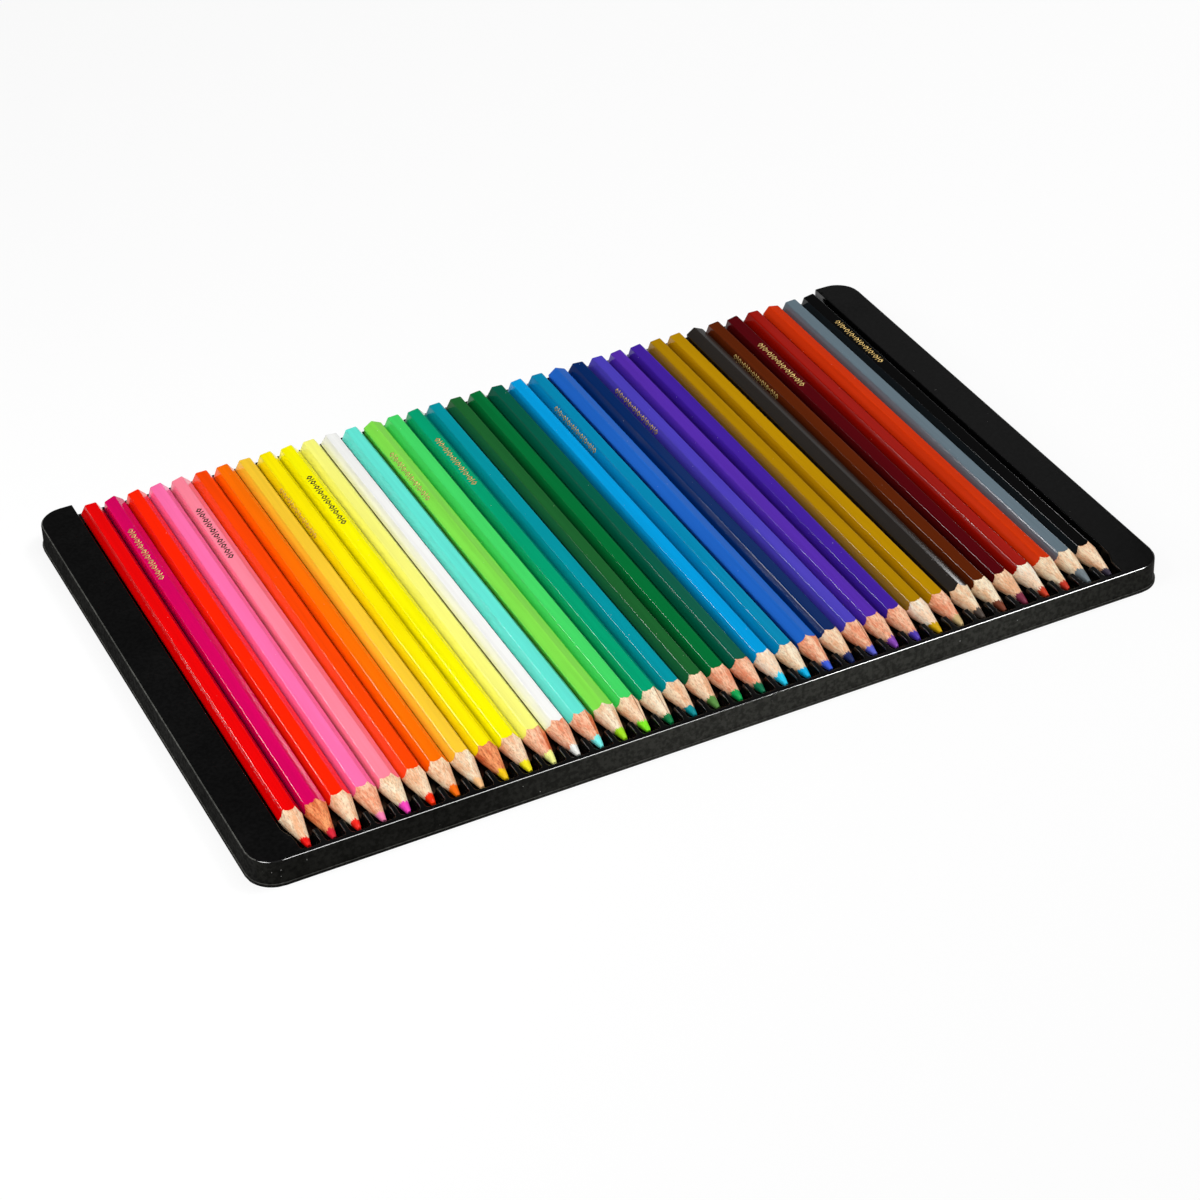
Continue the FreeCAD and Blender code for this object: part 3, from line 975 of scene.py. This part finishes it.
@dataclass
class Pencil:
    """One pencil, drawn tip first along +Y with a side facing up, then rolled and laid in its groove."""

    node: str
    look: PencilLook
    seed: int
    finishes: Sequence[bpy.types.Material]
    flats: float = 6.0
    edge_round: float = 0.23
    edge_segments: int = 4
    side_cuts: int = 8
    side_least: float = 0.9
    edge_least: float = 0.999
    noise_step: float = 7.31
    tip_radius: float = 0.62
    tip_slant: float = 0.3
    tip_turn: float = 2.4
    tip_rings: Sequence[Stretch] = ((1.0, 0.3), (0.9, 0.08), (0.7, 0.0), (0.35, 0.0))
    core_front: float = 0.4
    core_shares: Sequence[float] = (0.35, 0.7)
    core_waves: Sequence[Wave] = ((0.7, 0.6, 2.0), (0.5, 2.4, 3.0), (0.9, 5.0, 4.0), (0.6, 17.0, 6.0))
    point_angle: float = 11.4
    wood_shares: Sequence[float] = (0.0, 0.35, 0.7, 1.0)
    bared: float = 13.1
    bared_flat: float = 0.3
    scallop: float = 0.75
    chips: Sequence[Wave] = ((0.35, 2.2, 0.0), (0.25, 8.0, 1.0), (0.25, 23.0, 5.0))
    lip: float = 0.06
    chipped_run: float = 1.5
    plain_from: float = 18.0
    end_round: float = 1.0
    end_steps: int = 4
    end_middle: float = 0.5
    seam_angle: float = 62.0
    seam_width: float = 5.0
    slat_width: float = 180.0
    stamp_start: float = 20.0
    stamp_length: float = 27.0
    stamp_width: float = 2.1
    stamp_motifs: int = 19
    stamp_stroke: float = 0.42
    bar_heights: Stretch = (2.0, 1.1)
    foil_rise: float = 0.012

    def __post_init__(self) -> None:
        """Read the pencil's place, length and roll from its solid."""
        low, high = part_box(self.node)
        self.axis = Vector(((low.x + high.x) / 2, low.y, (low.z + high.z) / 2)) / MM
        self.length = (high.y - low.y) / MM
        self.slope = math.tan(math.radians(self.point_angle))
        self.roll = self.solid_roll()

    def solid_roll(self) -> float:
        """Give the roll of the solid: the turn about +Y of the edge nearest to where it would lie unrolled.

        Returns:
            The angle in radians, between minus and plus half a side.
        """
        places = [vert.co / MM - self.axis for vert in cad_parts[self.node].data.vertices]
        reach = max(math.hypot(place.x, place.z) for place in places)
        far = next(place for place in places if math.hypot(place.x, place.z) > self.edge_least * reach)
        turn = math.atan2(-far.z, far.x)
        return (turn + HEX_TURN / 2) % HEX_TURN - HEX_TURN / 2

    def wander(self, point: Vector, waves: Iterable[Wave]) -> float:
        """Add up smooth random waves round the pencil, the same on every run.

        Args:
            point: A point in the wanted direction from the axis.
            waves: Each one's height, its pace round the pencil and its own layer of noise.

        Returns:
            A shift along the pencil.
        """
        angle = math.atan2(point.z, point.x)
        x, z = math.cos(angle), math.sin(angle)
        base = self.seed * self.noise_step
        return sum(height * noise.noise(Vector((x * pace, z * pace, base + layer)))
                   for height, pace, layer in waves)

    def reach(self, point: Vector) -> float:
        """Give the hexagon's distance from the axis in a point's direction."""
        off_flat = (math.atan2(point.z, point.x) - math.pi / 2 + HEX_TURN / 2) % HEX_TURN - HEX_TURN / 2
        return self.flats / 2 / math.cos(off_flat)

    def cone(self, point: Vector, y: float, sunk: float = 0.0) -> Vector:
        """Move a point along its own direction from the axis onto the sharpened cone.

        Args:
            point: The point.
            y: Where it comes to lie, from the tip.
            sunk: How far inside the cone it comes to lie.

        Returns:
            Its new place.
        """
        radius = min(self.tip_radius + self.slope * y, self.reach(point)) - sunk
        spoke = Vector((point.x, 0.0, point.z)).normalized() * radius
        return Vector((spoke.x, y, spoke.z))

    def paint_edge(self, point: Vector) -> float:
        """Give where the lacquer ends: further back at the edges than on the sides, and slightly chipped.

        Args:
            point: A point in the wanted direction from the axis.

        Returns:
            The distance from the tip.
        """
        corner = 1 / math.cos(HEX_TURN / 2) - 1
        past_flat = (self.reach(point) / (self.flats / 2) - 1) / corner
        return self.bared + self.scallop * past_flat + self.wander(point, self.chips)

    def core_edge(self, point: Vector) -> float:
        """Give where the wood ends on the cone: a ragged line, lower on one side of the core."""
        return self.look.core_length + self.wander(point, self.core_waves)

    def shoulder(self, point: Vector) -> float:
        """Give where the cone runs out into the bare part of the sides, in front of the lacquer."""
        run_out = (self.reach(point) - self.tip_radius) / self.slope
        return min(run_out, self.paint_edge(point) - self.bared_flat)

    def on_wood(self, point: Vector, share: float) -> Vector:
        """Move a point onto the cone, a share of the way from its shoulder to the core."""
        return self.cone(point, blend(self.shoulder(point), self.core_edge(point), share))

    def on_core(self, point: Vector, share: float) -> Vector:
        """Move a point onto the cone, a share of the way from the wood to the front of the core."""
        return self.cone(point, blend(self.core_edge(point), self.core_front, share))

    def on_tip(self, point: Vector, drawn_in: float, behind: float) -> Vector:
        """Give a place on the tip's rounded rim or flat, on a plane slanted a little to one side.

        Args:
            point: A point in the same direction from the axis.
            drawn_in: The distance from the axis, as a share of the tip's radius.
            behind: How far behind the tip's plane the place lies.

        Returns:
            The place.
        """
        spoke = Vector((point.x, 0.0, point.z)).normalized() * self.tip_radius * drawn_in
        turn = self.seed * self.tip_turn
        lean = Vector((math.cos(turn), 0.0, math.sin(turn)))
        slant = self.tip_slant * (1 + spoke.dot(lean) / self.tip_radius) / 2
        return spoke + Vector((0.0, behind + slant, 0.0))

    def rim(self, bm: BMesh) -> list[BMEdge]:
        """Draw the rounded hexagon across the pencil as a loop of edges with no face.

        Args:
            bm: The empty mesh to draw in.

        Returns:
            The loop's edges.
        """
        reach = self.flats / 2 / math.cos(HEX_TURN / 2)
        ring = bmesh.ops.create_circle(bm, cap_ends=True, segments=HEX_SIDES, radius=reach)["verts"]
        corner = math.atan2(ring[0].co.y, ring[0].co.x)
        for turn, axis in ((-corner, "Z"), (math.pi / 2, "X")):
            bmesh.ops.rotate(bm, verts=ring, cent=(0, 0, 0), matrix=Matrix.Rotation(turn, 3, axis))
        bmesh.ops.bevel(bm, geom=ring, offset=self.edge_round, affect="VERTICES",
                        segments=self.edge_segments, profile=0.5, material=-1)
        longest = max(edge.calc_length() for edge in bm.edges)
        sides = [edge for edge in bm.edges if edge.calc_length() > self.side_least * longest]
        bmesh.ops.subdivide_edges(bm, edges=sides, cuts=self.side_cuts)
        bmesh.ops.delete(bm, geom=list(bm.faces), context="FACES_ONLY")
        return list(bm.edges)

    def shaft(self, bm: BMesh, front: Sequence[BMEdge]) -> None:
        """Draw the lacquered sides back to the rounded, dipped end.

        Args:
            bm: The mesh to draw in.
            front: The loop where the lacquer ends.
        """
        dipped = Finish.LACQUER.value
        run = self.chipped_run
        loop = grown_ring(bm, front, lambda p: Vector((p.x, self.paint_edge(p) + run, p.z)), dipped)
        for y in (self.plain_from, self.length - self.end_round):
            loop = grown_ring(bm, loop, lambda p: Vector((p.x, y, p.z)), dipped)
        width = 1.0
        for index in range(1, self.end_steps + 1):
            angle = index / self.end_steps * math.pi / 2
            drawn_in = 1 - self.end_round * (1 - math.cos(angle)) / (self.flats / 2)
            y = self.length - self.end_round * (1 - math.sin(angle))
            shrunk = drawn_in / width
            loop = grown_ring(bm, loop, lambda p: Vector((p.x * shrunk, y, p.z * shrunk)), dipped)
            width = drawn_in
        middle = self.end_middle
        loop = grown_ring(bm, loop, lambda p: Vector((p.x * middle, self.length, p.z * middle)), dipped)
        bmesh.ops.edgeloop_fill(bm, edges=loop)

    def point(self, bm: BMesh, front: Sequence[BMEdge]) -> None:
        """Draw the bare wood and the core down to the blunt, slanted tip.

        Args:
            bm: The mesh to draw in.
            front: The loop where the lacquer ends.
        """
        wood, core = Finish.WOOD.value, Finish.CORE.value
        loop = grown_ring(bm, front, lambda p: self.cone(p, self.paint_edge(p), self.lip), wood)
        for edge in list(front) + loop:
            edge.smooth = False
        for share in self.wood_shares:
            loop = grown_ring(bm, loop, lambda p: self.on_wood(p, share), wood)
        for share in self.core_shares:
            loop = grown_ring(bm, loop, lambda p: self.on_core(p, share), core)
        for drawn_in, behind in self.tip_rings:
            loop = grown_ring(bm, loop, lambda p: self.on_tip(p, drawn_in, behind), core)
        for face in bmesh.ops.edgeloop_fill(bm, edges=loop)["faces"]:
            face.material_index = core

    def glue_slats(self, bm: BMesh) -> None:
        """Show the joint of the pencil's two slats on its point, as a dark line or a second tone.

        Args:
            bm: The drawn pencil.
        """
        if self.look.seam is Seam.HIDDEN:
            return
        width = self.seam_width if self.look.seam is Seam.LINE else self.slat_width
        for face in bm.faces:
            place = face.calc_center_median()
            past = (self.seam_angle - math.degrees(math.atan2(place.z, place.x))) % FULL_TURN
            if face.material_index == Finish.WOOD.value and past < width:
                face.material_index = Finish.OTHER_WOOD.value

    def motif(self, bm: BMesh, index: int) -> list[BMFace]:
        """Draw one flat shape of the foil ornament in the XY plane, by turns an open lozenge and a bar.

        Args:
            bm: The mesh to draw in.
            index: The shape's place in the row.

        Returns:
            Its faces.
        """
        half = self.stamp_width / 2
        if index % 2:
            bar = bmesh.ops.create_grid(bm, x_segments=1, y_segments=1, size=0.5)["verts"]
            tall = self.bar_heights[index // 2 % 2]
            bmesh.ops.scale(bm, vec=(tall * half, self.stamp_stroke, 1.0), verts=bar)
            return list(bar[0].link_faces)
        lozenge = bmesh.ops.create_circle(bm, cap_ends=True, segments=4, radius=half)["verts"]
        middle = list(lozenge[0].link_faces)
        outline = bmesh.ops.inset_region(bm, faces=middle, thickness=self.stamp_stroke, use_boundary=True,
                                         use_even_offset=True)["faces"]
        bmesh.ops.delete(bm, geom=middle, context="FACES_ONLY")
        return outline

    def ornament(self, bm: BMesh) -> None:
        """Stamp a row of open lozenges and bars on one side, near the blunt end, as thin foil plates.

        Args:
            bm: The drawn pencil.
        """
        pace = self.stamp_length / (self.stamp_motifs - 1)
        first = self.length - self.stamp_start - self.stamp_length
        turn = Matrix.Rotation(self.look.stamp.value * HEX_TURN, 3, "Y")
        for index in range(self.stamp_motifs):
            before = set(bm.faces)
            raised = bmesh.ops.extrude_face_region(bm, geom=self.motif(bm, index))["geom"]
            lifted = [item for item in raised if isinstance(item, BMVert)]
            bmesh.ops.translate(bm, vec=(0.0, 0.0, 2 * self.foil_rise), verts=lifted)
            plate = [face for face in bm.faces if face not in before]
            verts = list({vert for face in plate for vert in face.verts})
            bmesh.ops.recalc_face_normals(bm, faces=plate)
            place = (0.0, first + index * pace, self.flats / 2 - self.foil_rise)
            bmesh.ops.translate(bm, vec=place, verts=verts)
            bmesh.ops.rotate(bm, verts=verts, cent=(0, 0, 0), matrix=turn)
            for face in plate:
                face.material_index = Finish.FOIL.value

    def build(self) -> None:
        """Draw the pencil, lay it in its groove and let it stand for its solid."""
        bm = bmesh.new()
        front = self.rim(bm)
        for vert in bm.verts:
            vert.co.y = self.paint_edge(vert.co)
        self.shaft(bm, front)
        self.point(bm, front)
        self.glue_slats(bm)
        bmesh.ops.recalc_face_normals(bm, faces=bm.faces)
        self.ornament(bm)
        bmesh.ops.rotate(bm, verts=bm.verts, cent=(0, 0, 0), matrix=Matrix.Rotation(self.roll, 3, "Y"))
        bmesh.ops.translate(bm, vec=self.axis, verts=bm.verts)
        piece = finished_piece(self.look.name + "_pencil", bm, self.finishes)
        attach(piece, self.node)
        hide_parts(self.node)


@dataclass(frozen=True)
class Lamp:
    """One soft studio light, aimed at the tray."""

    name: str
    place: Place
    size: Stretch
    watts: float
    mirrored: bool = True
    aim: Place = (0.0, 0.0, 0.0)

    def hang(self) -> None:
        """Make the light and turn it to its aim."""
        data = bpy.data.lights.new(self.name, "AREA")
        data.shape = "RECTANGLE"
        data.size, data.size_y = self.size
        data.energy = self.watts
        light = bpy.data.objects.new(self.name, data)
        light.location = self.place
        light.rotation_euler = (Vector(self.aim) - Vector(self.place)).to_track_quat("-Z", "Y").to_euler()
        light.visible_camera = False
        light.visible_glossy = self.mirrored
        bpy.context.scene.collection.objects.link(light)


@dataclass(frozen=True)
class Studio:
    """The floor, the lights and the camera at the photograph's viewing angle."""

    floor_half_m: float = 6.0
    sky: float = 0.04
    skyline: float = 0.25
    skyline_top: float = 0.3
    azimuth: float = 25.0
    elevation: float = 36.254
    lean: float = -2.3385
    lens_mm: float = 92.395
    sensor_mm: float = 36.0
    camera_place: Place = (-311.2, -673.9, 529.44)
    lamps: tuple[Lamp, ...] = (
        Lamp("key_softbox", (0.68, 0.0, 1.1), (0.38, 0.35), 7.9),
        Lamp("overhead_softbox", (0.26, 0.0, 1.15), (0.42, 0.35), 3.0),
        Lamp("back_softbox", (-0.917, 0.95, 0.4), (0.1, 0.22), 1.9),
        Lamp("left_softbox", (-0.34, -0.12, 0.46), (0.2, 0.2), 0.7),
        Lamp("left_glow", (-0.36, -0.04, 0.22), (0.16, 0.16), 0.44, False),
        Lamp("right_panel", (0.81, 1.05, 0.83), (0.3, 0.35), 0.035),
        Lamp("right_glint", (0.8, 0.55, 0.06), (0.06, 0.1), 0.14),
        Lamp("front_fill", (-0.5, -1.2, 1.0), (0.9, 0.6), 3.0, False),
    )

    def lay_floor(self) -> None:
        """Make the floor under the tray."""
        bm = bmesh.new()
        bmesh.ops.create_grid(bm, x_segments=1, y_segments=1, size=self.floor_half_m)
        mesh = bpy.data.meshes.new("studio_floor")
        bm.to_mesh(mesh)
        bm.free()
        mesh.materials.append(PaleFloor().material())
        floor = bpy.data.objects.new("studio_floor", mesh)
        bpy.context.scene.collection.objects.link(floor)

    def light(self) -> None:
        """Hang the lamps in dim surroundings that are paler towards the skyline."""
        for lamp in self.lamps:
            lamp.hang()
        world = bpy.data.worlds.new("studio")
        world.use_nodes = True
        nodes, links = world.node_tree.nodes, world.node_tree.links
        way = nodes.new("ShaderNodeTexCoord")
        parts = nodes.new("ShaderNodeSeparateXYZ")
        height = nodes.new("ShaderNodeMapRange")
        for name, value in (("From Max", self.skyline_top), ("To Min", self.skyline), ("To Max", self.sky)):
            height.inputs[name].default_value = value
        links.new(way.outputs["Generated"], parts.inputs["Vector"])
        links.new(parts.outputs["Z"], height.inputs["Value"])
        links.new(height.outputs["Result"], nodes["Background"].inputs["Strength"])
        nodes["Background"].inputs["Color"].default_value = (1.0, 1.0, 1.0, 1.0)
        bpy.context.scene.world = world

    def aim_camera(self) -> None:
        """Set the camera where the photograph was taken."""
        data = bpy.data.cameras.new("camera")
        data.lens = self.lens_mm
        data.sensor_width = self.sensor_mm
        camera = bpy.data.objects.new("camera", data)
        turn = Matrix.Rotation(math.radians(-self.azimuth), 4, "Z")
        tilt = Matrix.Rotation(math.radians(90 - self.elevation), 4, "X")
        lean = Matrix.Rotation(math.radians(self.lean), 4, "Z")
        place = Matrix.Translation(Vector(self.camera_place) * MM)
        camera.matrix_world = place @ turn @ tilt @ lean
        bpy.context.scene.collection.objects.link(camera)
        bpy.context.scene.camera = camera

    def set_up(self) -> None:
        """Make the whole studio."""
        self.lay_floor()
        self.light()
        self.aim_camera()
        bpy.context.scene.view_settings.view_transform = "Standard"


def pencil_nodes() -> list[str]:
    """Give the pencil nodes from left to right."""
    return sorted(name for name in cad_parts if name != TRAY_NODE)


def node_axis(node: str) -> tuple[float, float]:
    """Give X and height of a pencil node's axis, in millimetres."""
    low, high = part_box(node)
    return (low.x + high.x) / 2 / MM, (low.z + high.z) / 2 / MM


def lay_tray() -> None:
    """Build the tray from its packed box and the pencils' axes."""
    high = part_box(TRAY_NODE)[1]
    axes = [node_axis(node) for node in pencil_nodes()]
    foot = FormedTray.foot_step
    FormedTray(
        axes=[x for x, _ in axes],
        axis_height=axes[0][1],
        half_width=high.x / MM - foot,
        half_depth=high.y / MM - foot,
        height=high.z / MM,
    ).build()


def lay_pencils() -> None:
    """Build every pencil with its own lacquer and core and one of the shared woods."""
    woods = {tint: BareWood(tint).material() for tint in WoodTint}
    foils = {foil: foil.value.material() for foil in Foil}
    for seed, (node, look) in enumerate(zip(pencil_nodes(), LOOKS), start=1):
        other_wood = woods[WoodTint.UMBER if look.seam is Seam.LINE else WoodTint.AMBER]
        foil = foils[Foil.BRONZE if sum(look.lacquer) > PALE_LACQUER else Foil.GOLD]
        finishes = (Lacquer(look.name, look.lacquer).material(), woods[look.wood], other_wood,
                    Pigment(look.name, look.core).material(), foil)
        Pencil(node, look, seed, finishes).build()


def main() -> None:
    """Build the tray, the pencils and the studio."""
    lay_tray()
    lay_pencils()
    Studio().set_up()


if __name__ == "__main__":
    main()
